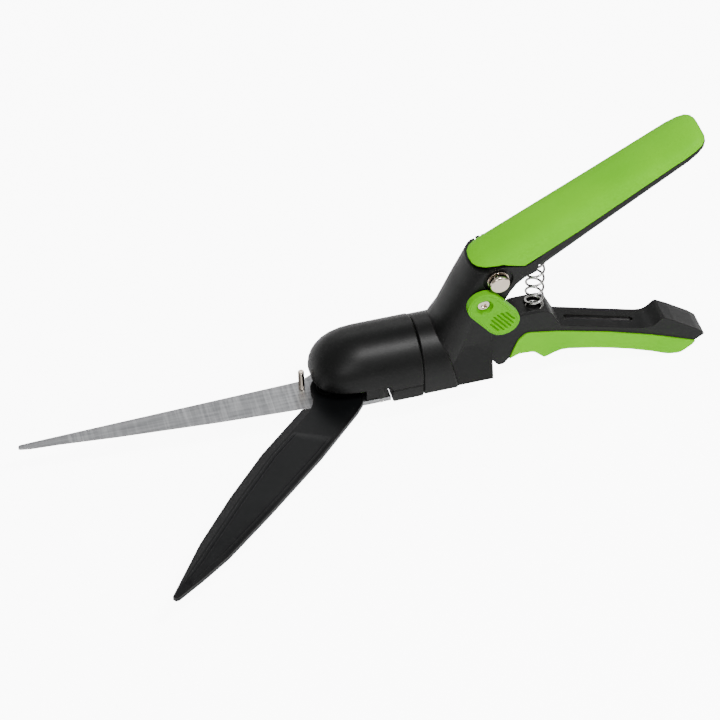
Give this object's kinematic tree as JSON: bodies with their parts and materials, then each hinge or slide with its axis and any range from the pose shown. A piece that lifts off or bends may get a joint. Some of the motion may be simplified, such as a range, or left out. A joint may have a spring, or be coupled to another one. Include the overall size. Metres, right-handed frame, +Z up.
{
  "type": "grass shears",
  "caption": "Grass shears with a swivelling head: one fixed and one moving blade, worked by a sprung lower handle through a pull rod.",
  "frame": {"origin": "centre of the flat sole under the head, straight below the swivel axis", "axes": "+X from the blades to the handles, along the swivel axis; +Z up; -Y is the side with the lock lever"},
  "size_m": [0.3473, 0.1342, 0.1447],
  "materials": {
    "black_plastic": "satin, finely textured",
    "green_rubber": "soft matte over-moulding",
    "green_plastic": "satin",
    "nickel": "nickel plated",
    "steel": "plain",
    "spring_steel": "bright wire",
    "blade_steel": "cross-brushed",
    "coated_steel": "black low-friction coating"
  },
  "bodies": {
    "handle": {"handle_body": "black_plastic", "upper_grip": "green_rubber", "pivot_rivet": "nickel", "pivot_washer_near": "nickel", "pivot_washer_far": "nickel", "lock_screw": "nickel", "detent_ball": "steel", "detent_spring": "steel"},
    "trigger": {"lower_handle": "black_plastic", "lower_grip": "green_rubber", "handle_strip": "steel", "toe_pin": "steel", "return_spring": "spring_steel"},
    "yoke": {"rod_yoke": "steel"},
    "head": {"head_housing": "black_plastic", "head_cover": "black_plastic", "lower_blade": "blade_steel", "stop_pin": "nickel", "blade_bolt": "steel", "blade_washer": "coated_steel", "blade_nut": "coated_steel", "tang_screw_near": "steel", "tang_screw_far": "steel", "cover_screw_near": "steel", "cover_screw_far": "steel", "swivel_spigot": "steel", "spigot_clip": "steel"},
    "drive": {"drive_slider": "steel", "drive_pin": "steel", "pull_rod": "steel"},
    "blade": {"upper_blade": "coated_steel"},
    "lock": {"lock_lever": "green_plastic"}
  },
  "joints": [
    {"name": "trigger_squeeze", "type": "hinge", "parent": "handle", "child": "trigger", "pos_m": [0.0463, 0, 0.0621], "axis": [0, -1, 0], "range_deg": [0, 14], "stiffness_Nm_per_rad": 1.4, "springref_deg": -17.19, "deforming": ["return_spring"]},
    {"name": "yoke_pull", "type": "slide", "parent": "handle", "child": "yoke", "axis": [1, 0, 0], "range_m": [0, 0.01225]},
    {"name": "head_swivel", "type": "hinge", "parent": "handle", "child": "head", "pos_m": [0.008, 0, 0.012], "axis": [1, 0, 0], "continuous": true},
    {"name": "drive_pull", "type": "slide", "parent": "head", "child": "drive", "axis": [1, 0, 0], "range_m": [0, 0.01225]},
    {"name": "blade_close", "type": "hinge", "parent": "head", "child": "blade", "pos_m": [-0.037, -0.005, 0.004], "axis": [0, 0, -1], "range_deg": [0, 48.31]},
    {"name": "lock_turn", "type": "hinge", "parent": "handle", "child": "lock", "pos_m": [0.0386, -0.015, 0.05], "axis": [0, -1, 0], "range_deg": [0, 30]}
  ],
  "couplings": [
    {"joint": "yoke_pull", "follows": "trigger_squeeze", "m_per_rad": 0.0501},
    {"joint": "drive_pull", "follows": "trigger_squeeze", "m_per_rad": 0.0501},
    {"joint": "blade_close", "follows": "trigger_squeeze", "ratio": 3.45}
  ]
}
